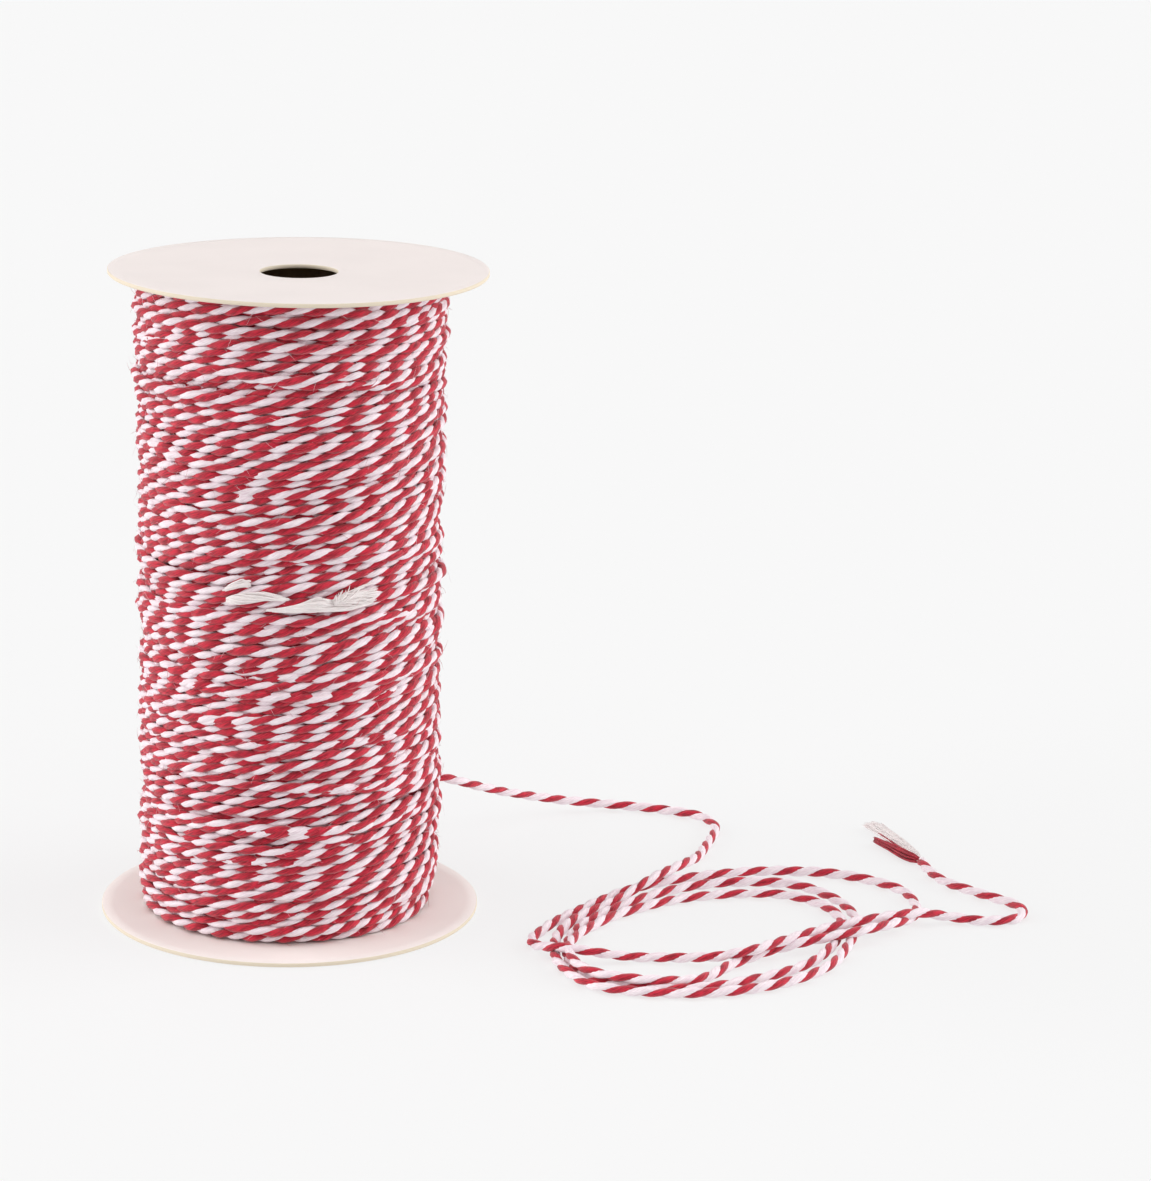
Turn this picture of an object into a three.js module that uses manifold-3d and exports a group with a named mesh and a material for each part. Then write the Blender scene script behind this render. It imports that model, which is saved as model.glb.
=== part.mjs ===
// Card spool wound with two-ply cotton twine, its loose end lying in loops beside it.
// Millimetres, +Z up. The spool stands on its lower disc, and the origin is the centre
// of that disc's underside. The loose end lies on the same surface, to the +X side.

import * as THREE from 'three';
import { mergeVertices } from 'three/addons/utils/BufferGeometryUtils.js';
import Module from 'manifold-3d';

// Spool
const SPOOL_HEIGHT = 111.6;
const CARD_THICKNESS = 0.7;
const LOWER_DISC_RADIUS = 32.5;
const UPPER_DISC_RADIUS = 31.9;
const UPPER_DISC_SHIFT_X = 0.6;      // the upper disc is glued on a little off centre
const SPINDLE_HOLE_RADIUS = 6.5;
const CORE_OUTER_RADIUS = 16;
const CORE_WALL = 1.2;
const DISC_ARC_SEGMENTS = 36;        // for each half turn
const CORE_ARC_SEGMENTS = 20;

// Winding
const CLEARANCE = 0.3;               // between pieces that touch on the real spool
const TWINE_DIAMETER = 1.8;
const WINDING_INNER_RADIUS = CORE_OUTER_RADIUS + CLEARANCE;
const WINDING_SEGMENTS = 40;
const RIDGE_PITCH = 5.4;             // four turns of twine lie in one ridge
const RIDGE_HEIGHT = 0.22;
const ROWS_PER_RIDGE = 3;
const WAVINESS = 0.16;
const EDGE_DROP = 0.5;               // the outermost turns slip inwards at the discs

// Outer radius of the winding at heights above the lower disc
const WINDING_PROFILE = [
  { height: 0, radius: 25.9 },
  { height: 14, radius: 25.9 },
  { height: 36, radius: 25.4 },
  { height: 60, radius: 25.3 },
  { height: 84, radius: 25.7 },
  { height: 100, radius: 26.3 },
  { height: 111.6, radius: 26.4 },
];

// A worn tuft on the front of the winding, where a strand was joined
const TUFT = { angle: -84, height: 56.5, reach: 0.7, halfWidth: 26, halfHeight: 2.4 };

// Loose end: from the back of the winding down to the surface
const LEAD_ROUTE = [
  { x: -5.8, y: 26.9, z: 13.7 },
  { x: 4, y: 28.7, z: 13.6 },
  { x: 15, y: 30.7, z: 13.2 },
  { x: 26.6, y: 33.2, z: 12.2 },
  { x: 33, y: 37.3, z: 9.4 },
  { x: 38.9, y: 41.8, z: 6.6 },
  { x: 45.3, y: 46, z: 4.2 },
  { x: 51.5, y: 49, z: 2.4 },
  { x: 58.4, y: 50.3, z: 1.3 },
  { x: 65.2, y: 49.6, z: 0.9 },
  { x: 71, y: 47.3, z: 0.9 },
  { x: 76, y: 44.3, z: 0.9 },
  { x: 78.5, y: 38, z: 0.9 },
  { x: 77.4, y: 32.5, z: 0.9 },
  { x: 75.9, y: 27.8, z: 0.9 },
  { x: 74.2, y: 22.2, z: 1.1 },
  { x: 72.6, y: 17.4, z: 1.7 },
];
const LEAD_STEPS = 34;

// The loops, as distances from their middle. The angle runs on from turn to turn.
const LOOPS_CENTRE = { x: 70, y: -18 };
const LOOP_STATIONS = [
  { angle: 89, reach: 31.4, z: 2.3 },
  { angle: 99, reach: 25.2, z: 2.8 },
  { angle: 122, reach: 20.9, z: 1.3 },
  { angle: 142, reach: 20.1, z: 0.9 },
  { angle: 167, reach: 22.3, z: 0.9 },
  { angle: 190, reach: 25.6, z: 0.9 },
  { angle: 209, reach: 29.2, z: 0.9 },
  { angle: 231, reach: 32.8, z: 0.9 },
  { angle: 251, reach: 31, z: 0.9 },
  { angle: 283, reach: 28.2, z: 0.9 },
  { angle: 316, reach: 26.4, z: 0.9 },
  { angle: 346, reach: 25.4, z: 0.9 },
  { angle: 376, reach: 28.4, z: 0.9 },
  { angle: 412, reach: 30, z: 0.9 },
  { angle: 439, reach: 24.4, z: 0.9 },
  { angle: 474, reach: 18.9, z: 0.9 },
  { angle: 510, reach: 18.2, z: 0.9 },
  { angle: 543, reach: 22, z: 0.9 },
  { angle: 569, reach: 27.1, z: 0.9 },
  { angle: 591, reach: 30.8, z: 0.9 },
  { angle: 619, reach: 28, z: 0.9 },
  { angle: 646, reach: 24.3, z: 0.9 },
  { angle: 681, reach: 23, z: 0.9 },
  { angle: 706, reach: 23, z: 0.9 },
  { angle: 742, reach: 25.9, z: 0.9 },
  { angle: 766, reach: 24.6, z: 0.9 },
  { angle: 795, reach: 18.6, z: 0.9 },
  { angle: 837, reach: 15, z: 0.9 },
  { angle: 868, reach: 15.8, z: 0.9 },
  { angle: 903, reach: 20.2, z: 1.2 },
  { angle: 927, reach: 26.6, z: 2.3 },
  { angle: 951, reach: 31.6, z: 2.5 },
  { angle: 968, reach: 29.4, z: 2.3 },
  { angle: 982, reach: 25.2, z: 1.4 },
  { angle: 999, reach: 17.6, z: 0.9 },
  { angle: 1015, reach: 14.9, z: 0.9 },
  { angle: 1048, reach: 17.3, z: 1.7 },
  { angle: 1066, reach: 26.3, z: 2.8 },
  { angle: 1083, reach: 33.6, z: 1.6 },
  { angle: 1094, reach: 40.6, z: 0.9 },
  { angle: 1112, reach: 42.6, z: 0.9 },
  { angle: 1130, reach: 38.8, z: 0.9 },
  { angle: 1157, reach: 30, z: 0.9 },
  { angle: 1185, reach: 24.7, z: 0.9 },
  { angle: 1222, reach: 22, z: 0.9 },
  { angle: 1247, reach: 24.7, z: 0.9 },
  { angle: 1269, reach: 29.7, z: 0.9 },
];
const POINTS_PER_TURN = 20;

// The last stretch of the loops passes over the others and heads for the cut end
const CROSSING_ROUTE = [
  { x: 42, y: -26.7, z: 1.4 },
  { x: 45.6, y: -30.6, z: 2.6 },
  { x: 50.2, y: -31.6, z: 2.2 },
  { x: 56.5, y: -30.8, z: 1 },
  { x: 63.6, y: -31.4, z: 1 },
  { x: 70.2, y: -33.6, z: 1.9 },
  { x: 76.5, y: -33.2, z: 2.8 },
  { x: 81.8, y: -29.2, z: 2.8 },
  { x: 91.3, y: -22.3, z: 2.8 },
  { x: 97.8, y: -18.7, z: 2.8 },
  { x: 104.8, y: -15.6, z: 2.7 },
  { x: 109, y: -13.7, z: 2.3 },
];
const COIL_PIECES = 7;               // joined one by one, so that no piece crosses itself

const TAIL_ROUTE = [
  { x: 114.4, y: -12.6, z: 1.1 },
  { x: 120, y: -13.9, z: 0.9 },
  { x: 125, y: -13, z: 0.9 },
  { x: 127.3, y: -9.4, z: 0.9 },
  { x: 126.4, y: -5.4, z: 0.9 },
  { x: 123.6, y: -2.2, z: 0.9 },
  { x: 119.8, y: 2, z: 0.9 },
  { x: 116.6, y: 6, z: 0.9 },
  { x: 114.6, y: 11.4, z: 0.9 },
  { x: 113.6, y: 18.6, z: 0.9 },
];
const TAIL_STEPS = 18;

// The two strands come apart at the cut end
const WHITE_END_ROUTE = [
  { x: 113.7, y: 19.3, z: 0.7 },
  { x: 111.6, y: 27, z: 0.7 },
  { x: 107.7, y: 38.2, z: 0.7 },
];
const RED_END_ROUTE = [
  { x: 111.9, y: 19.5, z: 0.7 },
  { x: 109.8, y: 24.5, z: 0.7 },
  { x: 107.1, y: 29.9, z: 0.7 },
];
const CUT_END_HALF_WIDTH = 0.8;
const CUT_END_HALF_HEIGHT = 0.65;
const CUT_END_STEPS = 5;

const TUBE_SIDES = 8;

const wasm = await Module();
wasm.setup();

const card = () => new THREE.MeshStandardMaterial({ color: 0xf0e8e4, roughness: 0.85, metalness: 0 });
const kraft = () => new THREE.MeshStandardMaterial({ color: 0xa58763, roughness: 0.95, metalness: 0 });
const whiteCotton = () => new THREE.MeshStandardMaterial({ color: 0xf4eef0, roughness: 1, metalness: 0 });
const redCotton = () => new THREE.MeshStandardMaterial({ color: 0xc42840, roughness: 1, metalness: 0 });
const mixedCotton = () => new THREE.MeshStandardMaterial({ color: 0xdb8b98, roughness: 1, metalness: 0 });

function namedMesh(name, geometry, material) {
  const mesh = new THREE.Mesh(geometry, material);
  mesh.name = name;
  return mesh;
}

function closedGeometry(geometry) {
  geometry.deleteAttribute('normal');
  geometry.deleteAttribute('uv');
  const merged = mergeVertices(geometry, 1e-4);
  merged.computeVertexNormals();
  return merged;
}

function ringShape(outerRadius, innerRadius) {
  const shape = new THREE.Shape();
  shape.absarc(0, 0, outerRadius, 0, 2 * Math.PI);
  const hole = new THREE.Path();
  hole.absarc(0, 0, innerRadius, 0, 2 * Math.PI, true);
  shape.holes.push(hole);
  return shape;
}

function ringGeometry(outerRadius, innerRadius, height, segments) {
  const settings = { depth: height, curveSegments: segments, bevelEnabled: false };
  return closedGeometry(new THREE.ExtrudeGeometry(ringShape(outerRadius, innerRadius), settings));
}

function disc(name, radius, shiftX, bottom) {
  const geometry = ringGeometry(radius, SPINDLE_HOLE_RADIUS, CARD_THICKNESS, DISC_ARC_SEGMENTS);
  const mesh = namedMesh(name, geometry, card());
  mesh.position.set(shiftX, 0, bottom);
  return mesh;
}

function coreTube() {
  const bottom = CARD_THICKNESS + CLEARANCE;
  const height = SPOOL_HEIGHT - 2 * bottom;
  const inner = CORE_OUTER_RADIUS - CORE_WALL;
  const mesh = namedMesh('core_tube', ringGeometry(CORE_OUTER_RADIUS, inner, height, CORE_ARC_SEGMENTS), kraft());
  mesh.position.z = bottom;
  return mesh;
}

// Radius read from a table of heights, eased between its rows
function profileRadius(z) {
  const upper = WINDING_PROFILE.findIndex((row) => row.height >= z);
  const above = WINDING_PROFILE[Math.max(upper, 1)];
  const below = WINDING_PROFILE[Math.max(upper, 1) - 1];
  const share = THREE.MathUtils.smoothstep(z, below.height, above.height);
  return THREE.MathUtils.lerp(below.radius, above.radius, share);
}

function tuftRise(angle, z) {
  const sideways = (THREE.MathUtils.radToDeg(angle) - TUFT.angle) / TUFT.halfWidth;
  const upwards = (z - TUFT.height) / TUFT.halfHeight;
  return TUFT.reach * Math.exp(-(sideways ** 2) - upwards ** 2);
}

// Turns climb from the left to the right across the front and sink again at the back
function windingRadius(angle, z, bottom, top) {
  const slanted = z - 1.1 * Math.sin(angle + 0.4 * Math.sin(z / 9)) * Math.sin(z / 23);
  const ridge = RIDGE_HEIGHT * Math.cos((2 * Math.PI * slanted) / RIDGE_PITCH);
  const wave = WAVINESS * Math.sin(2 * angle + z / 11) * Math.cos(z / 7);
  const edge = Math.min(z - bottom, top - z);
  const drop = EDGE_DROP * Math.exp(-edge / TWINE_DIAMETER);
  return profileRadius(z) + ridge + wave - drop + tuftRise(angle, z);
}

// A closed ring profile turned about the axis, its outer wall then shaped point by point
function winding() {
  const bottom = CARD_THICKNESS + CLEARANCE;
  const top = SPOOL_HEIGHT - bottom;
  const rows = Math.round(((top - bottom) / RIDGE_PITCH) * ROWS_PER_RIDGE);
  const profile = [new THREE.Vector2(WINDING_INNER_RADIUS, bottom)];
  for (let row = 0; row <= rows; row++) {
    const z = THREE.MathUtils.lerp(bottom, top, row / rows);
    profile.push(new THREE.Vector2(profileRadius(z), z));
  }
  profile.push(new THREE.Vector2(WINDING_INNER_RADIUS, top));
  profile.push(profile[0].clone());
  const geometry = new THREE.LatheGeometry(profile, WINDING_SEGMENTS);
  geometry.rotateX(Math.PI / 2);
  const place = geometry.getAttribute('position');
  for (let i = 0; i < place.count; i++) {
    const radius = Math.hypot(place.getX(i), place.getY(i));
    if (radius > WINDING_INNER_RADIUS + CLEARANCE) {
      const angle = Math.atan2(place.getY(i), place.getX(i));
      const scale = windingRadius(angle, place.getZ(i), bottom, top) / radius;
      place.setX(i, place.getX(i) * scale);
      place.setY(i, place.getY(i) * scale);
    }
  }
  return namedMesh('winding', closedGeometry(geometry), mixedCotton());
}

const asVector = (point) => new THREE.Vector3(point.x, point.y, point.z);

function ovalShape(halfWidth, halfHeight, sides) {
  const shape = new THREE.Shape();
  for (let side = 0; side < sides; side++) {
    const angle = (2 * Math.PI * (side + 0.5)) / sides;
    const x = halfWidth * Math.cos(angle);
    const y = halfHeight * Math.sin(angle);
    if (side === 0) shape.moveTo(x, y);
    else shape.lineTo(x, y);
  }
  shape.closePath();
  return shape;
}

function tubeGeometry(points, steps, halfWidth, halfHeight) {
  const path = new THREE.CatmullRomCurve3(points, false, 'centripetal');
  const settings = { steps, bevelEnabled: false, extrudePath: path };
  return closedGeometry(new THREE.ExtrudeGeometry(ovalShape(halfWidth, halfHeight, TUBE_SIDES), settings));
}

// The point on the way from one to the other that leaves the clearance to its end
function justBefore(end, from) {
  return from.clone().sub(end).setLength(CLEARANCE).add(end);
}

function twineTube(name, points, steps) {
  const half = TWINE_DIAMETER / 2;
  return namedMesh(name, tubeGeometry(points, steps, half, half), mixedCotton());
}

// Reach and height at any angle, as a smooth curve through the stations
function loopPoint(angle) {
  const last = LOOP_STATIONS.length - 1;
  let i = LOOP_STATIONS.findIndex((station) => station.angle > angle) - 1;
  if (i < 0) i = last - 1;
  const rows = [i - 1, i, i + 1, i + 2].map((k) => LOOP_STATIONS[THREE.MathUtils.clamp(k, 0, last)]);
  const share = (angle - rows[1].angle) / (rows[2].angle - rows[1].angle);
  const reach = hermite(rows, 'reach', share);
  const z = Math.max(hermite(rows, 'z', share), TWINE_DIAMETER / 2);
  const turn = THREE.MathUtils.degToRad(angle);
  const x = LOOPS_CENTRE.x + reach * Math.cos(turn);
  const y = LOOPS_CENTRE.y + reach * Math.sin(turn);
  return new THREE.Vector3(x, y, z);
}

function hermite([before, start, end, after], key, share) {
  const span = end.angle - start.angle;
  const startSlope = ((end[key] - before[key]) / (end.angle - before.angle)) * span;
  const endSlope = ((after[key] - start[key]) / (after.angle - start.angle)) * span;
  const square = share * share;
  const cube = square * share;
  const fromStart = (2 * cube - 3 * square + 1) * start[key] + (cube - 2 * square + share) * startSlope;
  return fromStart + (3 * square - 2 * cube) * end[key] + (cube - square) * endSlope;
}

function coilPoints() {
  const first = LOOP_STATIONS[0].angle;
  const last = LOOP_STATIONS[LOOP_STATIONS.length - 1].angle;
  const count = Math.round(((last - first) / 360) * POINTS_PER_TURN);
  const points = [];
  for (let i = 0; i <= count; i++) points.push(loopPoint(THREE.MathUtils.lerp(first, last, i / count)));
  return points.concat(CROSSING_ROUTE.map(asVector));
}

function toSolid(geometry) {
  const vertProperties = new Float32Array(geometry.getAttribute('position').array);
  const triVerts = new Uint32Array(geometry.getIndex().array);
  return new wasm.Manifold(new wasm.Mesh({ numProp: 3, vertProperties, triVerts }));
}

function fromSolid(solid) {
  const result = solid.getMesh();
  const geometry = new THREE.BufferGeometry();
  geometry.setAttribute('position', new THREE.BufferAttribute(result.vertProperties, 3));
  geometry.setIndex(new THREE.BufferAttribute(result.triVerts, 1));
  geometry.computeVertexNormals();
  return geometry;
}

// The turns touch where they cross, so the loops are one solid of joined stretches
function looseCoil(points) {
  const half = TWINE_DIAMETER / 2;
  const stretch = Math.ceil((points.length - 1) / COIL_PIECES);
  let coil = null;
  for (let start = 0; start < points.length - 1; start += stretch) {
    const part = points.slice(start, start + stretch + 2);
    const solid = toSolid(tubeGeometry(part, part.length - 1, half, half));
    coil = coil ? coil.add(solid) : solid;
  }
  return namedMesh('loose_coil', fromSolid(coil), mixedCotton());
}

function cutEnd(name, route, material) {
  const points = route.map(asVector);
  const geometry = tubeGeometry(points, CUT_END_STEPS, CUT_END_HALF_WIDTH, CUT_END_HALF_HEIGHT);
  return namedMesh(name, geometry, material);
}

function spool() {
  const group = new THREE.Group();
  group.add(disc('lower_disc', LOWER_DISC_RADIUS, 0, 0));
  group.add(coreTube());
  group.add(winding());
  group.add(disc('upper_disc', UPPER_DISC_RADIUS, UPPER_DISC_SHIFT_X, SPOOL_HEIGHT - CARD_THICKNESS));
  return group;
}

function looseEnd() {
  const group = new THREE.Group();
  const lead = LEAD_ROUTE.map(asVector);
  const tail = TAIL_ROUTE.map(asVector);
  const coil = coilPoints();
  lead.push(justBefore(coil[0], lead[lead.length - 1]));
  tail.unshift(justBefore(coil[coil.length - 1], tail[0]));
  group.add(twineTube('loose_lead', lead, LEAD_STEPS));
  group.add(looseCoil(coil));
  group.add(twineTube('loose_tail', tail, TAIL_STEPS));
  group.add(cutEnd('cut_end_white', WHITE_END_ROUTE, whiteCotton()));
  group.add(cutEnd('cut_end_red', RED_END_ROUTE, redCotton()));
  return group;
}

const model = new THREE.Group();
model.add(spool());
model.add(looseEnd());

export default model;
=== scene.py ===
"""Card spool of red and white cotton twine, its loose end lying in loops beside it."""

import math

import bmesh
import bpy
import numpy as np
from mathutils import Matrix


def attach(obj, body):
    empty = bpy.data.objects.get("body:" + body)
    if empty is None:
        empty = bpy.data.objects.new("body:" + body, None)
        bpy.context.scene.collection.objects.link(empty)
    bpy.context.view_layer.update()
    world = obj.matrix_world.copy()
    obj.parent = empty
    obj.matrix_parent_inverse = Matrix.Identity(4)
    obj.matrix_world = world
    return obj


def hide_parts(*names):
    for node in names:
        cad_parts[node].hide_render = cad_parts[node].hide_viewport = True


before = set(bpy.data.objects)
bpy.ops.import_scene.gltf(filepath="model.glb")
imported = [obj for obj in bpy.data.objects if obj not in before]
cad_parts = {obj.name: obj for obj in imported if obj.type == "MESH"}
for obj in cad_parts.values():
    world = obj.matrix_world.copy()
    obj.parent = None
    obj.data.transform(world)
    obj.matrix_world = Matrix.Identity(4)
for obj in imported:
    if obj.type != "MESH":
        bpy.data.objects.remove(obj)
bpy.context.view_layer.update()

MM = 0.001
CHANCE = np.random.default_rng(7)

# Camera, fitted to the photo
CAMERA_PLACE = (0, -0.6244, 0.2223)
CAMERA_YAW = 0.07773
CAMERA_PITCH = 0.25934
CAMERA_ROLL = 0.02173
LENS = 115.33
SENSOR_WIDTH = 36

# Spool, in millimetres
SPOOL_HEIGHT = 111.6
CARD_THICKNESS = 0.7
LOWER_DISC_RADIUS = 32.5
UPPER_DISC_RADIUS = 31.75
UPPER_DISC_SHIFT = 1.3
UPPER_DISC_DISH = 0.5
UPPER_DISC_WARP = 0.15
SPINDLE_HOLE_RADIUS = 6.5
CORE_RADIUS = 16
EASED_CORNER = 0.1

# Twine: two plies laid round each other, tighter and rounder where it is wound
TWINE_DIAMETER = 1.8
TWINE_RADIUS = TWINE_DIAMETER / 2
LOOSE_PLY_RADIUS = 0.65
LOOSE_PLY_OFFSET = 0.25
LOOSE_TWIST_PITCH = 6.7
WOUND_PLY_RADIUS = 0.61
WOUND_PLY_OFFSET = 0.31
WOUND_TWIST_PITCH = 6.4
LOOSE_SWELL = {"red": 0.93, "white": 1.05}
WOUND_SWELL = {"red": 1.1, "white": 0.95}

# Outer radius of the winding by height above the surface, and how far its foot is drawn in
PROFILE_HEIGHTS = (0, 14, 36, 60, 84, 100, SPOOL_HEIGHT)
PROFILE_RADII = (25.5, 25.6, 25.4, 25.4, 25.7, 26.0, 26.0)
FOOT_DRAWN_IN = 2.4
FOOT_HEIGHT = 5.5
DRAWN_IN_SIDE = math.radians(-25)

# Turns of the winding, with so many stations to a turn, and what lies over and under them
TURNS = 80
STATIONS = 96
FIRST_ANGLE = math.radians(100)
WOUND_STEP = 0.62
WOUND_LOOSENESS = 2.4
STEEP_PLACES = 34
SETTLING_ROUNDS = 90
NESTING_GAP = 1.55
WIDEST_GAP = 2.0
DEEPEST_SINK = 0.55
HIGHEST_RISE = 0.62
CROSSING_TURNS = 34
FUZZ_HAIRS = 2600
HAIR_RADII = (0.024, 0.022, 0.018, 0.008)
DEEP_PITCH = 1.36
DEEP_ROWS = 4
DEEP_DEPTH = 1.5
DEEP_CLEARANCE = 0.3
DEEP_TWISTS = 26

# Light, and how far the floor lies under the object
AIR_LIGHT = 0.46
FLOOR_GREY = 0.2
FLOOR_GLOW = 0.712
FLOOR_DROP = 0.2

# The loose end's way, with the angle and radius of its stretch behind the winding
LEAVING_HEIGHT = 13.7
HIDDEN_STRETCH = ((150, 25.4), (138, 26), (126, 26.6), (114, 27.1))
LEAD_ROUTE = [
    (-5.8, 26.9, 13.7), (4, 28.7, 13.6), (15, 30.7, 13.2), (26.6, 33.2, 12.2), (33, 37.3, 9.4),
    (38.9, 41.8, 6.6), (45.3, 46, 4.2), (51.5, 49, 2.4), (58.4, 50.3, 1.3), (65.2, 49.6, 0.9),
    (71, 47.3, 0.9), (76, 44.3, 0.9), (78.5, 38, 0.9), (77.4, 32.5, 0.9), (75.9, 27.8, 0.9),
    (74.2, 22.2, 1.1), (72.6, 17.4, 1.7),
]

# The loops, as angle, reach from their middle and height
LOOPS_CENTRE = (70, -18)
LOOP_STATIONS = [
    (89, 31.4, 2.3), (99, 25.2, 2.8), (122, 20.9, 1.3), (142, 20.1, 0.9), (167, 22.3, 0.9),
    (190, 25.6, 0.9), (209, 29.2, 0.9), (231, 32.8, 0.9), (251, 31, 0.9), (283, 28.2, 0.9),
    (316, 26.4, 0.9), (346, 25.4, 0.9), (376, 28.4, 0.9), (412, 30, 0.9), (439, 24.4, 0.9),
    (474, 18.9, 0.9), (510, 18.2, 0.9), (543, 22, 0.9), (569, 27.1, 0.9), (591, 30.8, 0.9),
    (619, 28, 0.9), (646, 24.3, 0.9), (681, 23, 0.9), (706, 23, 0.9), (742, 25.9, 0.9),
    (766, 24.6, 0.9), (795, 18.6, 0.9), (837, 15, 0.9), (868, 15.8, 0.9), (903, 20.2, 1.2),
    (927, 26.6, 2.3), (951, 31.6, 2.5), (968, 29.4, 2.3), (982, 25.2, 1.4), (999, 17.6, 0.9),
    (1015, 14.9, 0.9), (1048, 17.3, 1.7), (1066, 26.3, 2.8), (1083, 33.6, 1.6), (1094, 40.6, 0.9),
    (1112, 42.6, 0.9), (1130, 38.8, 0.9), (1157, 30, 0.9), (1185, 24.7, 0.9), (1222, 22, 0.9),
    (1247, 24.7, 0.9), (1269, 29.7, 0.9),
]
POINTS_PER_TURN = 20
POINTS_BETWEEN = 24

CROSSING_ROUTE = [
    (42, -26.7, 1.4), (45.6, -30.6, 2.6), (50.2, -31.6, 2.2), (56.5, -30.8, 1), (63.6, -31.4, 1),
    (70.2, -33.6, 1.9), (76.5, -33.2, 2.8), (81.8, -29.2, 2.8), (91.3, -22.3, 2.8),
    (97.8, -18.7, 2.8), (104.8, -15.6, 2.7), (109, -13.7, 2.3),
]
TAIL_ROUTE = [
    (114.4, -12.6, 1.1), (120, -13.9, 0.9), (125, -13, 0.9), (127.3, -9.4, 0.9),
    (126.4, -5.4, 0.9), (123.6, -2.2, 0.9), (119.8, 2, 0.9), (116.6, 6, 0.9), (114.6, 11.4, 0.9),
    (113.6, 18.6, 0.9),
]
WHITE_END_ROUTE = [(113.6, 18.0, 0.85), (113.2, 21.5, 0.8), (111.4, 27.8, 0.8), (107.4, 40.6, 0.8)]
RED_END_ROUTE = [(113.6, 18.0, 0.85), (112, 20.4, 0.8), (109.9, 24.7, 0.8), (106.6, 31.2, 0.8)]
RED_BRANCH_ROUTE = [(112, 20.4, 0.85), (110.6, 25.8, 0.9), (108, 34.5, 0.8)]


# Camera

def aim_camera():
    """Set the scene's camera where the photo was taken from."""
    yaw, pitch, roll = CAMERA_YAW, CAMERA_PITCH, CAMERA_ROLL
    flat = math.cos(pitch)
    ahead = np.array([math.sin(yaw) * flat, math.cos(yaw) * flat, -math.sin(pitch)])
    level = np.array([math.cos(yaw), -math.sin(yaw), 0])
    upright = np.cross(level, ahead)
    right = math.cos(roll) * level + math.sin(roll) * upright
    up = math.cos(roll) * upright - math.sin(roll) * level
    data = bpy.data.cameras.new("camera")
    data.lens = LENS
    data.sensor_width = SENSOR_WIDTH
    data.clip_start = 0.01
    camera = bpy.data.objects.new("camera", data)
    turn = Matrix(np.column_stack([right, up, -ahead]).tolist()).to_4x4()
    camera.matrix_world = Matrix.Translation(CAMERA_PLACE) @ turn
    bpy.context.scene.collection.objects.link(camera)
    bpy.context.scene.camera = camera


aim_camera()


# Lines through points, in millimetres

def curve_between(share, start, end, start_slope, end_slope):
    """A smooth way from start to end that has the given slopes there."""
    return (
        (2 * share**3 - 3 * share**2 + 1) * start + (share**3 - 2 * share**2 + share) * start_slope
        + (3 * share**2 - 2 * share**3) * end + (share**3 - share**2) * end_slope
    )


def smooth_line(points, step):
    """Points a step apart on a smooth line through the given points."""
    given = np.array(points, float)
    before_first = 2 * given[0] - given[1]
    past_last = 2 * given[-1] - given[-2]
    full = np.vstack([before_first, given, past_last])
    spans = np.sqrt(np.linalg.norm(np.diff(full, axis=0), axis=1))
    share = np.linspace(0, 1, POINTS_BETWEEN, endpoint=False)[:, None]
    pieces = []
    for i in range(1, len(full) - 2):
        before, along, after = spans[i - 1:i + 2]
        p0, p1, p2, p3 = full[i - 1:i + 3]
        start = ((p1 - p0) / before - (p2 - p0) / (before + along) + (p2 - p1) / along) * along
        end = ((p2 - p1) / along - (p3 - p1) / (along + after) + (p3 - p2) / after) * along
        pieces.append(curve_between(share, p1, p2, start, end))
    pieces.append(given[-1:])
    return even_steps(np.concatenate(pieces), step)


def distances(line):
    """How far along the line each of its points is."""
    return np.concatenate([[0], np.cumsum(np.linalg.norm(np.diff(line, axis=0), axis=1))])


def even_steps(line, step):
    """The same line with its points about a step apart."""
    along = distances(line)
    wanted = np.linspace(0, along[-1], int(round(along[-1] / step)) + 1)
    return np.column_stack([np.interp(wanted, along, line[:, axis]) for axis in range(3)])


def directions(line):
    """The line's direction at each of its points, one long."""
    ahead = np.gradient(line, axis=0)
    return ahead / np.linalg.norm(ahead, axis=1)[:, None]


def loop_point(angle):
    """The point at an angle round the loops, on a smooth line through the stations."""
    stations = np.array(LOOP_STATIONS, float)
    last = len(stations) - 1
    i = int(np.clip(np.searchsorted(stations[:, 0], angle, side="right") - 1, 0, last - 1))
    before, start, end, after = stations[np.clip([i - 1, i, i + 1, i + 2], 0, last)]
    span = end[0] - start[0]
    start_slope = (end - before) / (end[0] - before[0]) * span
    end_slope = (after - start) / (after[0] - start[0]) * span
    _, reach, height = curve_between((angle - start[0]) / span, start, end, start_slope, end_slope)
    turn = math.radians(angle)
    x = LOOPS_CENTRE[0] + reach * math.cos(turn)
    y = LOOPS_CENTRE[1] + reach * math.sin(turn)
    return (x, y, max(height, TWINE_RADIUS))


def loose_route():
    """From among the turns at the back of the winding to the cut end."""
    hidden = [
        (radius * math.cos(math.radians(angle)), radius * math.sin(math.radians(angle)), LEAVING_HEIGHT)
        for angle, radius in HIDDEN_STRETCH
    ]
    first, last = LOOP_STATIONS[0][0], LOOP_STATIONS[-1][0]
    count = round((last - first) / 360 * POINTS_PER_TURN)
    loops = [loop_point(angle) for angle in np.linspace(first, last, count + 1)]
    return hidden + LEAD_ROUTE + loops + CROSSING_ROUTE + TAIL_ROUTE


def wander(count, spacing, size):
    """A smooth random wander, one value a step, that changes over about that many steps."""
    knots = CHANCE.normal(0, 1, count // spacing + 4)
    rough = np.interp(np.arange(count) / spacing, np.arange(len(knots)), knots)
    window = np.hanning(spacing + 2)
    return size * np.convolve(rough, window / window.sum(), "same")


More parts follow.
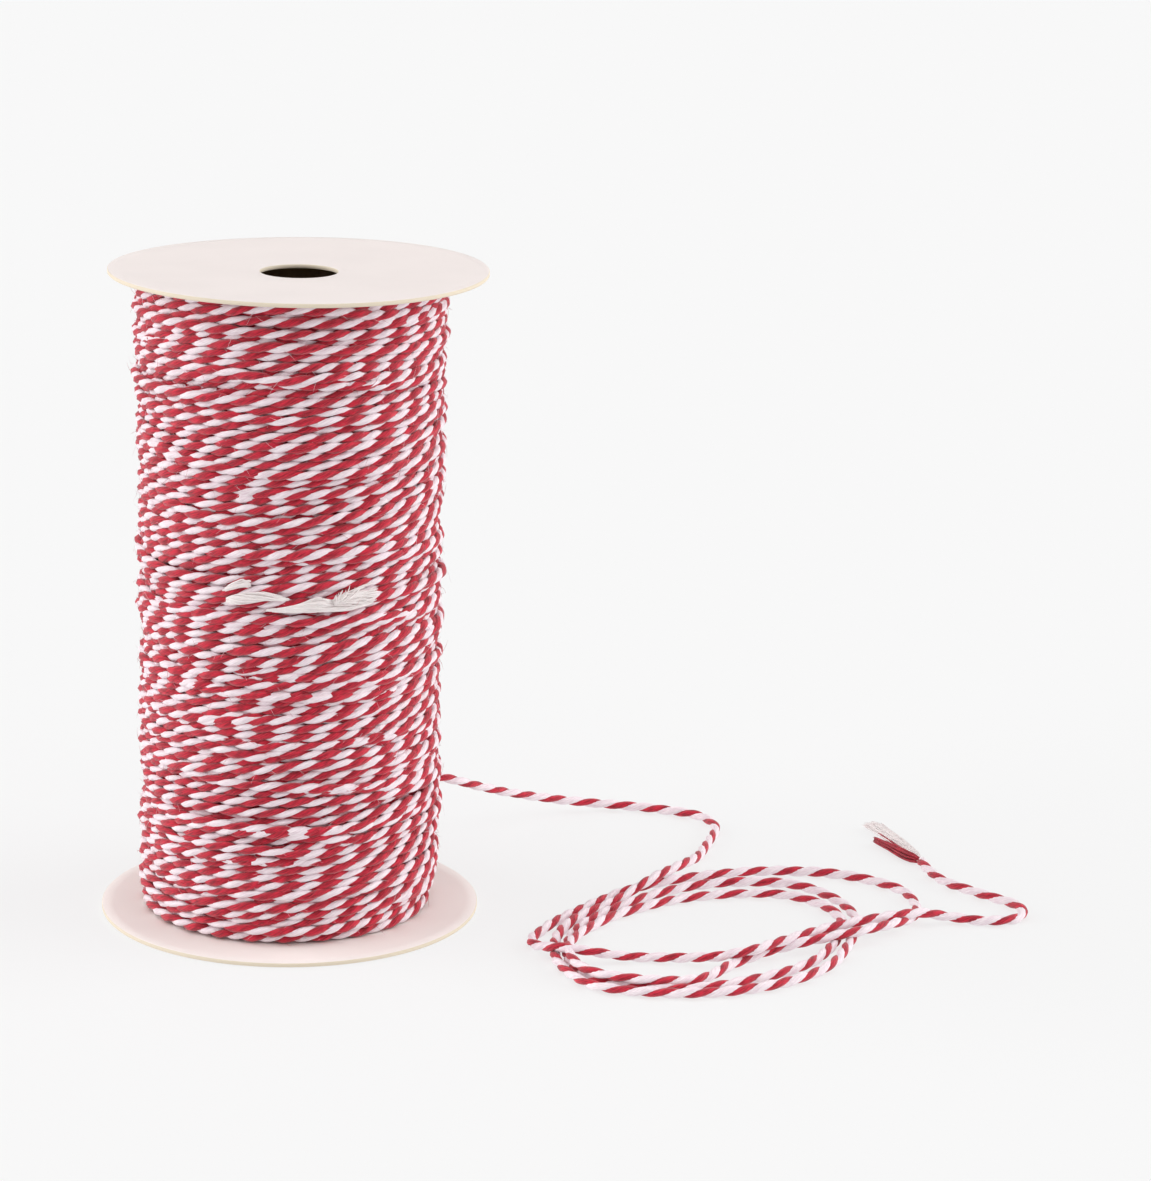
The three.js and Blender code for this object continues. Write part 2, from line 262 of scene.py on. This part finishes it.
def plies(line, outwards, pitch, offset, looseness):
    """The middle lines of the two plies, which wind round each other to the left."""
    ahead = directions(line)
    outwards = outwards - ahead * np.sum(outwards * ahead, axis=1)[:, None]
    outwards = outwards / np.linalg.norm(outwards, axis=1)[:, None]
    across = np.cross(ahead, outwards)
    along = distances(line)
    spacing = max(8, int(25 / (along[1] - along[0])))
    turn = -2 * math.pi * along / pitch + wander(len(line), spacing, looseness)
    swing = offset * (np.cos(turn)[:, None] * outwards + np.sin(turn)[:, None] * across)
    return line + swing, line - swing


def around_axis(radius, angle, height):
    """Points given by their distance from the spool's axis, their angle and their height."""
    return np.column_stack([radius * np.cos(angle), radius * np.sin(angle), height])


# Building meshes

def in_scene(name, mesh):
    made = bpy.data.objects.new(name, mesh)
    bpy.context.scene.collection.objects.link(made)
    return made


def fit_out(piece, finishes, slot_name, *replaced):
    """Give a piece its finishes and name the CAD nodes that it stands for; slot_name is not used."""
    for finish in finishes:
        piece.data.materials.append(finish)
    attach(piece, "root")
    if replaced:
        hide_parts(*replaced)


def tubes(name, strands, level, kinds=None):
    """One mesh of closed tubes. A strand is its points and its radius at each, in millimetres.

    A tube has 4 sides at level 0 and two more a level. Its UV map runs along the strand and
    round a ply in millimetres. Kinds give the finish of each strand, by its number.
    """
    curve = bpy.data.curves.new(name, "CURVE")
    curve.dimensions = "3D"
    curve.bevel_depth = MM
    curve.bevel_resolution = level
    for points, radii in strands:
        spline = curve.splines.new("POLY")
        spline.points.add(len(points) - 1)
        spline.points.foreach_set("co", np.column_stack([points * MM, np.ones(len(points))]).ravel())
        spline.points.foreach_set("radius", radii)
    holder = in_scene(name + " line", curve)
    ready = holder.evaluated_get(bpy.context.evaluated_depsgraph_get())
    mesh = bpy.data.meshes.new_from_object(ready)
    bpy.data.objects.remove(holder)
    bpy.data.curves.remove(curve)
    mesh.name = name

    sides = 4 + 2 * level
    faces = [(len(points) - 1) * sides for points, radii in strands]
    lengths = [distances(points)[-1] for points, radii in strands]
    layer = mesh.uv_layers[0].data
    place = np.empty(len(layer) * 2)
    layer.foreach_get("uv", place)
    place = place.reshape(-1, 2)
    place[:, 0] *= np.repeat(lengths, [4 * count for count in faces])
    place[:, 1] *= 2 * math.pi * LOOSE_PLY_RADIUS
    layer.foreach_set("uv", place.ravel())
    if kinds is not None:
        mesh.polygons.foreach_set("material_index", np.repeat(kinds, faces))

    solid = bmesh.new()
    solid.from_mesh(mesh)
    rims = [edge for edge in solid.edges if edge.is_boundary]
    bmesh.ops.holes_fill(solid, edges=rims, sides=0)
    solid.to_mesh(mesh)
    solid.free()
    mesh.polygons.foreach_set("use_smooth", np.ones(len(mesh.polygons), bool))
    return in_scene(name, mesh)


def turned(name, profile, steps):
    """A closed ring made by turning a closed profile of radius and height round the axis."""
    solid = bmesh.new()
    corners = [solid.verts.new((radius * MM, 0, height * MM)) for radius, height in profile]
    edges = [solid.edges.new((a, b)) for a, b in zip(corners, corners[1:] + corners[:1])]
    bmesh.ops.spin(
        solid, geom=corners + edges, cent=(0, 0, 0), axis=(0, 0, 1), angle=2 * math.pi,
        steps=steps, use_merge=True,
    )
    bmesh.ops.recalc_face_normals(solid, faces=solid.faces)
    mesh = bpy.data.meshes.new(name)
    solid.to_mesh(mesh)
    solid.free()
    mesh.polygons.foreach_set("use_smooth", np.ones(len(mesh.polygons), bool))
    return in_scene(name, mesh)


# Materials

class Value:
    """An output in a material, which can be used in sums."""

    def __init__(self, finish, socket):
        self.finish = finish
        self.socket = socket

    def sum(self, operation, *values):
        return self.finish.node("ShaderNodeMath", {"operation": operation}, dict(enumerate(values)))

    def __add__(self, other):
        return self.sum("ADD", self, other)

    def __sub__(self, other):
        return self.sum("SUBTRACT", self, other)

    def __mul__(self, other):
        return self.sum("MULTIPLY", self, other)

    def __truediv__(self, other):
        return self.sum("DIVIDE", self, other)

    def __rsub__(self, other):
        return self.sum("SUBTRACT", other, self)

    def __rtruediv__(self, other):
        return self.sum("DIVIDE", other, self)

    __radd__ = __add__
    __rmul__ = __mul__


class Finish:
    """A material being made."""

    def __init__(self, name):
        self.material = bpy.data.materials.new(name)
        self.material.use_nodes = True
        self.tree = self.material.node_tree
        self.shader = self.tree.nodes["Principled BSDF"]

    def node(self, kind, settings, inputs, output=0):
        """A node of a kind, with its settings, then the values or links of its sockets."""
        made = self.tree.nodes.new(kind)
        for setting, value in settings.items():
            setattr(made, setting, value)
        for socket, value in inputs.items():
            self.feed(made.inputs[socket], value)
        return Value(self, made.outputs[output])

    def feed(self, socket, value):
        if isinstance(value, Value):
            self.tree.links.new(value.socket, socket)
        else:
            socket.default_value = value

    def set(self, **values):
        """Feed the shader's sockets, and give the finished material."""
        for name, value in values.items():
            self.feed(self.shader.inputs[name.replace("_", " ")], value)
        return self.material

    def noise(self, place, scale, detail=2.0, roughness=0.5):
        sockets = {"Vector": place, "Scale": scale, "Detail": detail, "Roughness": roughness}
        return self.node("ShaderNodeTexNoise", {}, sockets)

    def ramp(self, value, low, high):
        """From 0 at low to 1 at high, with soft ends."""
        sockets = {"Value": value, "From Min": low, "From Max": high}
        return self.node("ShaderNodeMapRange", {"interpolation_type": "SMOOTHSTEP"}, sockets)

    def mix(self, share, first, second):
        return self.node("ShaderNodeMix", {"data_type": "RGBA"}, {0: share, 6: first, 7: second}, 2)

    def parts(self, vector):
        made = self.node("ShaderNodeSeparateXYZ", {}, {0: vector})
        outputs = made.socket.node.outputs
        return [Value(self, outputs[i]) for i in range(3)]

    def vector(self, x, y, z):
        return self.node("ShaderNodeCombineXYZ", {}, {0: x, 1: y, 2: z})

    def bump(self, height, strength, distance):
        sockets = {"Height": height, "Strength": strength, "Distance": distance}
        return self.node("ShaderNodeBump", {}, sockets)

    def object_place(self):
        return self.node("ShaderNodeTexCoord", {}, {}, "Object")


def colour(red, green, blue):
    """A screen colour from 0 to 255, as the light values the shader works in."""
    def light(value):
        value = value / 255
        return value / 12.92 if value <= 0.04045 else ((value + 0.055) / 1.055) ** 2.4

    return (light(red), light(green), light(blue), 1)


def cotton(name, bright, deep, glow=0.0):
    """Soft spun cotton: fine fibres run along the twine, at a slant across each ply."""
    finish = Finish(name)
    along, around, _ = finish.parts(finish.node("ShaderNodeUVMap", {"uv_map": "UVMap"}, {}))
    slanted = around + along * 0.32
    fibres = finish.noise(finish.vector(along * 0.5, slanted * 7, 0), 1.0, 3.0, 0.6)
    patches = finish.noise(finish.vector(along * 0.6, slanted * 1.2, 3), 1.0, 2.0)
    share = finish.ramp(fibres * 0.7 + patches * 0.3, 0.36, 0.62)
    return finish.set(
        Base_Color=finish.mix(share, deep, bright),
        Roughness=0.9,
        Normal=finish.bump(fibres, 0.8, 0.00013),
        Sheen_Weight=0.3,
        Sheen_Roughness=0.6,
        Specular_IOR_Level=0.2,
        Emission_Color=bright,
        Emission_Strength=glow,
    )


def card_finish(name, face, cut, rim, middle):
    """Smooth card from its hole to its rim, in millimetres, the cut edges yellower than the faces."""
    finish = Finish(name)
    place = finish.object_place()
    x, y, _ = finish.parts(place)
    cloud = finish.noise(place, 60.0, 3.0)
    grain = finish.noise(place, 2400.0, 2.0)
    warm = tuple(value * 0.97 for value in face[:3]) + (1,)
    body = finish.mix(finish.ramp(cloud, 0.3, 0.7), warm, face)
    flat = finish.vector(x - middle * MM, y, 0)
    reach = finish.node("ShaderNodeVectorMath", {"operation": "LENGTH"}, {0: flat}, "Value")
    hole = SPINDLE_HOLE_RADIUS
    at_rim = finish.ramp(reach, (rim - 0.12) * MM, (rim - 0.05) * MM)
    at_hole = finish.ramp(reach, (hole + 0.12) * MM, (hole + 0.05) * MM)
    return finish.set(
        Base_Color=finish.mix(at_rim + at_hole, body, cut),
        Roughness=0.82,
        Normal=finish.bump(grain, 0.12, 0.00005),
        Specular_IOR_Level=0.3,
    )


def board_finish():
    """Rolled board of the core tube, seen only through the hole."""
    finish = Finish("grey board")
    shade = finish.noise(finish.object_place(), 900.0, 3.0)
    return finish.set(
        Base_Color=finish.mix(shade, colour(120, 98, 72), colour(168, 142, 110)),
        Roughness=0.95,
        Normal=finish.bump(shade, 0.3, 0.0001),
    )


def underlayer_painted_shade_finish():
    """Red and white stripes of the turns below the top layer, seen only in the gaps, painted darker than
    the top layer's cotton: painted shade in the gaps.
    """
    finish = Finish("deep turns in painted shade")
    x, y, z = finish.parts(finish.object_place())
    angle = finish.node("ShaderNodeMath", {"operation": "ARCTAN2"}, {0: y, 1: x})
    level = z / (DEEP_PITCH * MM)
    row = finish.node("ShaderNodeMath", {"operation": "FLOOR"}, {0: level})
    waves = angle * DEEP_TWISTS - level * 3 + row * 5.3
    stripes = finish.node("ShaderNodeMath", {"operation": "SINE"}, {0: waves})
    share = finish.ramp(stripes, -0.2, 0.2)
    return finish.set(
        # Dark red and greyed white: painted shade laid over the lower turns' own red and white.
        Base_Color=finish.mix(share, colour(140, 14, 34), colour(214, 176, 184)),
        Roughness=0.95,
    )


RED = cotton("red cotton", colour(217, 32, 60), colour(124, 3, 26))
# The white ply's pink tint, strongest in its deep tone, is painted reflection of light bounced off the
# red ply.
WHITE = cotton("white cotton", colour(251, 240, 244), colour(234, 213, 222))
# Whiter than the white ply and glowing: painted light, making up for the shade that thin threads cast on
# each other.
LOOSE_WHITE_PAINTED_LIGHT = cotton("combed white cotton with painted light", colour(255, 248, 246), colour(240, 228, 228), 0.09)


# Loose end

def loose_twine():
    """The two plies of the loose end in one piece, and the line that they follow."""
    line = smooth_line(loose_route(), 0.5)
    across = np.cross((0, 0, 1), directions(line))
    red, white = plies(line, across, LOOSE_TWIST_PITCH, LOOSE_PLY_OFFSET, 0.5)
    radii = LOOSE_PLY_RADIUS * (1 + wander(len(line), 30, 0.06))
    radii[:3] *= (0.3, 0.7, 0.95)
    radii[-3:] *= (0.95, 0.7, 0.3)
    strands = [(red, radii * LOOSE_SWELL["red"]), (white, radii * LOOSE_SWELL["white"])]
    piece = tubes("loose_twine", strands, 2, [0, 1])
    return piece, line


def threads_along(strands, route, threads, half_widths, thickness, raggedness):
    """Threads of one ply come apart, spread flat to half widths along the way and cut ragged."""
    middle = smooth_line(route, 1.0)
    count = len(middle)
    share = np.linspace(0, 1, count)[:, None]
    side = np.cross((0, 0, 1), directions(middle))
    widths = np.interp(share, np.linspace(0, 1, len(half_widths)), half_widths)
    for _ in range(threads):
        turn = CHANCE.uniform(0, 2 * math.pi)
        reach = math.sqrt(CHANCE.uniform(0, 1))
        across, lift = reach * math.cos(turn), reach * math.sin(turn)
        offset = across * widths + wander(count, 4, 0.13)[:, None] * np.minimum(share * 6, 1)
        points = middle + side * offset
        points[:, 2:] += lift * thickness * np.minimum(0.5 + share * 4, 1) * (1 - 0.4 * share)
        points[:, 2] = np.maximum(points[:, 2], 0.15)
        keep = max(4, int(count * (1 - abs(CHANCE.normal(0, raggedness)))))
        radii = np.full(keep, CHANCE.uniform(0.1, 0.18))
        radii[-1] *= 0.4
        strands.append((points[:keep], radii))


def cut_ends():
    """The two plies apart at the cut: white spread wide, red narrower and forked."""
    white_threads, red_threads = [], []
    threads_along(white_threads, WHITE_END_ROUTE, 76, (0.45, 1.1, 1.5, 1.7, 1.95), 0.6, 0.05)
    threads_along(red_threads, RED_END_ROUTE, 38, (0.35, 1.2, 1.15, 0.95, 0.5, 0.3, 0.2), 0.8, 0.04)
    threads_along(red_threads, RED_BRANCH_ROUTE, 12, (0.5, 0.5, 0.2, 0.15), 0.35, 0.12)
    white_end = tubes("white_cut_end", white_threads, 0)
    red_end = tubes("red_cut_end", red_threads, 0)
    fit_out(white_end, [LOOSE_WHITE_PAINTED_LIGHT], "cotton_white", "cut_end_white")
    fit_out(red_end, [RED], "cotton_red", "cut_end_red")
    return white_end, red_end


twine, twine_line = loose_twine()
white_end, red_end = cut_ends()
fit_out(twine, [RED, WHITE], "twine", "loose_lead", "loose_coil", "loose_tail")


# Winding

def profile_radius(height):
    """Outer radius of the winding."""
    return np.interp(height, PROFILE_HEIGHTS, PROFILE_RADII)


def drawn_in(height, angle):
    """How much smaller the winding is at its foot, most of all on the side of the loops."""
    side = 0.5 + 0.5 * np.cos(angle - DRAWN_IN_SIDE)
    return FOOT_DRAWN_IN * np.exp(-((height / FOOT_HEIGHT) ** 2)) * side


def hand_laid(angle, height):
    """Heights of the turns with waves that they share, a wander and short steep places."""
    count = len(height)
    shared = 0.55 * np.sin(angle + 0.5) * np.sin(height / 9)
    shared = shared + 0.4 * np.sin(2 * angle + height / 6) + 0.5 * np.cos(angle) * np.sin(height / 23)
    height = height + shared + wander(count, STATIONS // 6, 0.85) + wander(count, STATIONS, 0.6)
    for middle in CHANCE.integers(STATIONS, count - STATIONS, STEEP_PLACES):
        width = CHANCE.uniform(6, 15)
        rise = CHANCE.choice([-1, 1]) * CHANCE.uniform(1.2, 3.2)
        height = height + rise * np.exp(-(((np.arange(count) - middle) / width) ** 2))
    return height


def push_apart(radius, height, turns_on):
    """Part the stations that lie so many turns apart where they overlap, and close wide gaps."""
    lag = turns_on * STATIONS
    apart_r = radius[lag:] - radius[:-lag]
    apart_z = height[lag:] - height[:-lag]
    apart = np.hypot(apart_r, apart_z) + 1e-6
    push = np.clip(NESTING_GAP - apart, 0, None) * 0.22 / apart
    if turns_on == 1:
        push -= np.clip(np.abs(apart_z) - WIDEST_GAP, 0, None) * 0.2 / apart
    radius[lag:] += push * apart_r
    radius[:-lag] -= push * apart_r
    height[lag:] += push * apart_z
    height[:-lag] -= push * apart_z


def wound_line():
    """The top layer: many turns laid by hand, each pushed aside by its neighbours."""
    count = TURNS * STATIONS
    low = CARD_THICKNESS + TWINE_RADIUS
    high = SPOOL_HEIGHT - low
    angle = FIRST_ANGLE - 2 * math.pi * np.arange(count) / STATIONS
    height = hand_laid(angle, np.linspace(low, high, count))
    rest = profile_radius(height) - TWINE_RADIUS + wander(count, STATIONS // 6, 0.4)
    rest = rest - drawn_in(height, angle)
    radius = rest.copy()
    for _ in range(SETTLING_ROUNDS):
        for turns_on in (1, 2, 3, 4):
            push_apart(radius, height, turns_on)
        radius += (rest - radius) * 0.1
        radius = np.clip(radius, rest - DEEPEST_SINK, rest + HIGHEST_RISE)
        height = np.clip(height, low, high)
        radius[1:-1] = 0.5 * radius[1:-1] + 0.25 * (radius[2:] + radius[:-2])
        height[1:-1] = 0.5 * height[1:-1] + 0.25 * (height[2:] + height[:-2])
    return even_steps(around_axis(radius, angle, height), WOUND_STEP)


def crossing_line():
    """A stretch of twine that comes up between the turns, lies across them and goes under again."""
    width = CHANCE.uniform(70, 190)
    count = int(width * 0.75)
    share = np.linspace(-1, 1, count)
    angle = np.radians(CHANCE.uniform(0, 360) - share * width / 2)
    rise = CHANCE.choice([-1, 1]) * CHANCE.uniform(1, 4.5)
    height = CHANCE.uniform(5, SPOOL_HEIGHT - 5) + rise * share / 2 + wander(count, 20, 0.3)
    lift = -0.85 + 1.45 * (1 - np.abs(share) ** 2.5)
    radius = profile_radius(height) - drawn_in(height, angle) - TWINE_RADIUS + lift
    return even_steps(around_axis(radius, angle, height), WOUND_STEP)


def crossing_turns():
    """Short stretches over the top layer, in one piece for each ply."""
    both = {"red": [], "white": []}
    for _ in range(CROSSING_TURNS):
        line = crossing_line()
        pair = plies(line, line * (1, 1, 0), WOUND_TWIST_PITCH, WOUND_PLY_OFFSET, 1.0)
        for kind, ply in zip(both, pair):
            radii = np.full(len(line), WOUND_PLY_RADIUS)
            radii[0] = radii[-1] = 0.3
            both[kind].append((ply, radii))
    for kind, finish in (("red", RED), ("white", WHITE)):
        piece = tubes(f"{kind}_ply_crossing_turns", both[kind], 1)
        fit_out(piece, [finish], f"cotton_{kind}")


def wound_twine():
    """The top layer in four pieces, and its plies' middle lines and outward directions."""
    line = wound_line()
    outwards = line * (1, 1, 0)
    red, white = plies(line, outwards, WOUND_TWIST_PITCH, WOUND_PLY_OFFSET, WOUND_LOOSENESS)
    plain = WOUND_PLY_RADIUS * (1.02 + wander(len(line), 30, 0.07) + wander(len(line), 5, 0.04))
    half = len(line) // 2
    for part, start, end in (("lower", 0, half + 1), ("upper", half, len(line))):
        for kind, ply, finish in (("red", red, RED), ("white", white, WHITE)):
            radii = plain[start:end] * WOUND_SWELL[kind]
            radii[0] *= 0.8
            radii[-1] *= 0.8
            piece = tubes(f"{kind}_ply_{part}_turns", [(ply[start:end], radii)], 1)
            fit_out(piece, [finish], f"cotton_{kind}")
    return red, white, outwards / np.linalg.norm(outwards, axis=1)[:, None]


def stray_fibres(name, ply, outwards, finish, slot_name):
    """Short hairs that stand off a ply, each a thin curved thread."""
    ahead = directions(ply)
    lowest = CARD_THICKNESS + 0.05
    highest = SPOOL_HEIGHT - CARD_THICKNESS - 0.3
    share = np.array([0, 0.35, 0.7, 1])[:, None]
    strands = []
    for start in CHANCE.integers(5, len(ply) - 5, FUZZ_HAIRS):
        side = np.cross(ahead[start], outwards[start])
        lean = ahead[start] * CHANCE.choice([-1, 1]) + side * CHANCE.uniform(-0.9, 0.9)
        lift = outwards[start] * CHANCE.uniform(-0.05, 0.3)
        length = CHANCE.uniform(0.8, 2.2)
        curl = side * CHANCE.uniform(-0.8, 0.8) * share**2
        points = ply[start] + outwards[start] * 0.62 + (lean * share + lift * share + curl) * length
        points[:, 2] = np.clip(points[:, 2], lowest, highest)
        strands.append((points, np.array(HAIR_RADII)))
    fit_out(tubes(name, strands, 0), [finish], slot_name)


def tuft(strands, route, half_heights, thickness, threads, twist, mess):
    """Combed-out threads on the winding along a route of angles and heights."""
    steps = 14
    share = np.linspace(0, 1, steps)
    stops = np.linspace(0, 1, len(route))
    angles = np.radians(np.interp(share, stops, [stop[0] for stop in route]))
    heights = np.interp(share, stops, [stop[1] for stop in route])
    widths = np.interp(share, stops, half_heights)
    for _ in range(threads):
        reach = math.sqrt(CHANCE.uniform(0, 1))
        turn = CHANCE.uniform(0, 2 * math.pi) + twist * share
        height = heights + reach * widths * np.cos(turn) + mess * wander(steps, 4, 1) * share
        depth = thickness * (0.5 + 0.5 * reach * np.sin(turn)) * widths / max(half_heights)
        points = around_axis(profile_radius(height) + 0.35 + depth, angles, height)
        start = CHANCE.integers(0, 3)
        end = steps - CHANCE.integers(0, 4)
        radii = np.full(end - start, CHANCE.uniform(0.1, 0.17))
        radii[-1] *= 0.4
        strands.append((points[start:end], radii))


def burst(strands, angle, height, threads):
    """Short threads that fan out from a knot, upwards and to the right."""
    share = np.linspace(0, 1, 7)
    for _ in range(threads):
        slope = math.radians(CHANCE.uniform(0, 100))
        length = 1.1 + 4.6 * math.cos(slope) ** 2 * CHANCE.uniform(0.7, 1)
        curl = CHANCE.uniform(-0.5, 0.5)
        along = length * share * np.cos(slope + curl * share) + CHANCE.uniform(-0.5, 0.5)
        heights = height + length * share * np.sin(slope + curl * share) * 0.8 + CHANCE.uniform(-0.4, 0.4)
        lift = CHANCE.uniform(0.2, 1.0) * np.sin(math.pi * np.minimum(share * 0.8 + 0.1, 1))
        radius = profile_radius(heights) + 0.6 + lift
        points = around_axis(radius, math.radians(angle) + along / radius, heights)
        radii = np.full(len(share), CHANCE.uniform(0.07, 0.13))
        radii[-1] *= 0.4
        strands.append((points, radii))


def joined_strands():
    """Worn white tufts on the front, where a strand was knotted on."""
    strands = []
    tuft(
        strands, [(-114.0, 60.7), (-108.5, 61.2), (-100.4, 61.7), (-90.6, 61.5)],
        (0.35, 1.0, 0.8, 0.15), 0.8, 30, 2.6, 0.12,
    )
    tuft(
        strands, [(-115.4, 62.3), (-111.6, 63.2), (-107.4, 63.9), (-104.4, 64.0)],
        (0.15, 0.5, 0.6, 0.5), 0.6, 16, 1.2, 0.3,
    )
    tuft(
        strands, [(-98.9, 59.4), (-92.0, 59.6), (-85.6, 60.0), (-79.4, 60.8), (-73.1, 60.7)],
        (0.15, 0.45, 0.7, 1.35, 0.6), 1.0, 40, 3.4, 0.15,
    )
    tuft(
        strands, [(-75.3, 60.6), (-70.8, 61.0), (-65.3, 61.4), (-57.4, 61.7)],
        (0.4, 0.9, 1.2, 1.3), 1.1, 52, 1.2, 0.6,
    )
    tuft(
        strands, [(-88.1, 59.5), (-75.7, 59.6), (-67.3, 59.6), (-58.3, 60.2)],
        (0.2, 0.4, 0.4, 0.2), 0.6, 14, 1.8, 0.12,
    )
    burst(strands, -73.5, 60.6, 60)
    fit_out(tubes("joined_strands", strands, 0), [LOOSE_WHITE_PAINTED_LIGHT], "cotton_white")


def deep_turns():
    """A ridged ring under the top layer, which fills the gaps between its turns."""
    inside = CORE_RADIUS + DEEP_CLEARANCE
    bottom = CARD_THICKNESS + DEEP_CLEARANCE
    top = SPOOL_HEIGHT - bottom
    rows = round((top - bottom) / DEEP_PITCH) * DEEP_ROWS
    profile = [(inside, bottom)]
    for row in range(rows + 1):
        height = bottom + (top - bottom) * row / rows
        drop = 0.25 if row in (0, rows) else 0
        ridge = 0.4 * abs(math.sin(math.pi * row / DEEP_ROWS))
        profile.append((float(profile_radius(height)) - DEEP_DEPTH + ridge - drop, height))
    profile.append((inside, top))
    piece = turned("turns_below_the_top_layer", profile, 96)
    for vertex in piece.data.vertices:
        reach = math.hypot(vertex.co.x, vertex.co.y) / MM
        if reach > CORE_RADIUS + 1:
            angle = math.atan2(vertex.co.y, vertex.co.x)
            share = 1 - drawn_in(vertex.co.z / MM, angle) / reach
            vertex.co.x *= share
            vertex.co.y *= share
    fit_out(piece, [underlayer_painted_shade_finish()], "twine", "winding")


red_ply, white_ply, away = wound_twine()
crossing_turns()
stray_fibres("red_fuzz", red_ply, away, RED, "cotton_red")
stray_fibres("white_fuzz", white_ply, away, WHITE, "cotton_white")
joined_strands()
deep_turns()


# Card discs and core

def card_disc(name, radius, bottom, shift=0, warp=0, dish=0):
    """A disc of card with a punched hole, its corners eased and its face not quite flat."""
    top = bottom + CARD_THICKNESS
    ease = EASED_CORNER
    rings = np.linspace(SPINDLE_HOLE_RADIUS + ease, radius - ease, 14)
    profile = [(ring, top) for ring in rings]
    profile += [(radius, top - ease), (radius, bottom + ease)]
    profile += [(ring, bottom) for ring in rings[::-1]]
    profile += [(SPINDLE_HOLE_RADIUS, bottom + ease), (SPINDLE_HOLE_RADIUS, top - ease)]
    piece = turned(name, [(float(r), float(z)) for r, z in profile], 128)
    for vertex in piece.data.vertices:
        angle = math.atan2(vertex.co.y, vertex.co.x)
        reach = math.hypot(vertex.co.x, vertex.co.y) / (radius * MM)
        vertex.co.z += warp * MM * reach**3 * math.sin(2 * angle + 0.6) - dish * MM * (1 - reach**2)
        vertex.co.x += shift * MM
    return piece


# Both discs are the same card; the lower face is painted lighter, painted light that makes up for the
# shade it gets beside the winding.
UPPER_FACE = colour(231, 222, 219)
LOWER_FACE_PAINTED_LIGHTER = colour(243, 235, 231)
CUT = colour(224, 211, 190)
lower_card = card_finish("lower disc card painted lighter", LOWER_FACE_PAINTED_LIGHTER, CUT, LOWER_DISC_RADIUS, 0)
upper_card = card_finish("upper disc card", UPPER_FACE, CUT, UPPER_DISC_RADIUS, UPPER_DISC_SHIFT)
lower_disc = card_disc("lower_card_disc", LOWER_DISC_RADIUS, 0)
upper_disc = card_disc(
    "upper_card_disc", UPPER_DISC_RADIUS, SPOOL_HEIGHT - CARD_THICKNESS,
    shift=UPPER_DISC_SHIFT, warp=UPPER_DISC_WARP, dish=UPPER_DISC_DISH,
)
fit_out(lower_disc, [lower_card], "card", "lower_disc")
fit_out(upper_disc, [upper_card], "card", "upper_disc")
core = bpy.data.objects["core_tube"]
core.data.materials.clear()
core.data.materials.append(board_finish())


# Floor and light

def floor():
    """A plain pale floor, mostly glowing, so that it stays even to its far edge."""
    solid = bmesh.new()
    bmesh.ops.create_grid(solid, x_segments=1, y_segments=1, size=3)
    mesh = bpy.data.meshes.new("floor")
    solid.to_mesh(mesh)
    solid.free()
    piece = in_scene("floor", mesh)
    piece.data.materials.append(Finish("pale floor").set(
        Base_Color=(FLOOR_GREY, FLOOR_GREY, FLOOR_GREY, 1), Roughness=1.0, Specular_IOR_Level=0.0,
        Emission_Color=(1, 1, 1, 1), Emission_Strength=FLOOR_GLOW,
    ))
    piece.location.z = -FLOOR_DROP * MM
    return piece


def far_light(name, azimuth, elevation, strength, width):
    """Even light from one direction, in degrees round the object and above the floor."""
    data = bpy.data.lights.new(name, "SUN")
    data.energy = strength
    data.angle = math.radians(width)
    light = bpy.data.objects.new(name, data)
    light.rotation_euler = (math.radians(90 - elevation), 0, math.radians(azimuth + 90))
    bpy.context.scene.collection.objects.link(light)
    return light


def studio_air():
    world = bpy.data.worlds.new("studio")
    world.use_nodes = True
    background = world.node_tree.nodes["Background"]
    background.inputs["Color"].default_value = (1, 1, 1, 1)
    background.inputs["Strength"].default_value = AIR_LIGHT
    bpy.context.scene.world = world
    bpy.context.scene.view_settings.view_transform = "Standard"


studio_air()
floor()
far_light("left_light", 181, 15, 2.5, 60)
far_light("right_light", -1, 15, 2.3, 60)
far_light("top_light", 270, 75, 0.8, 70)
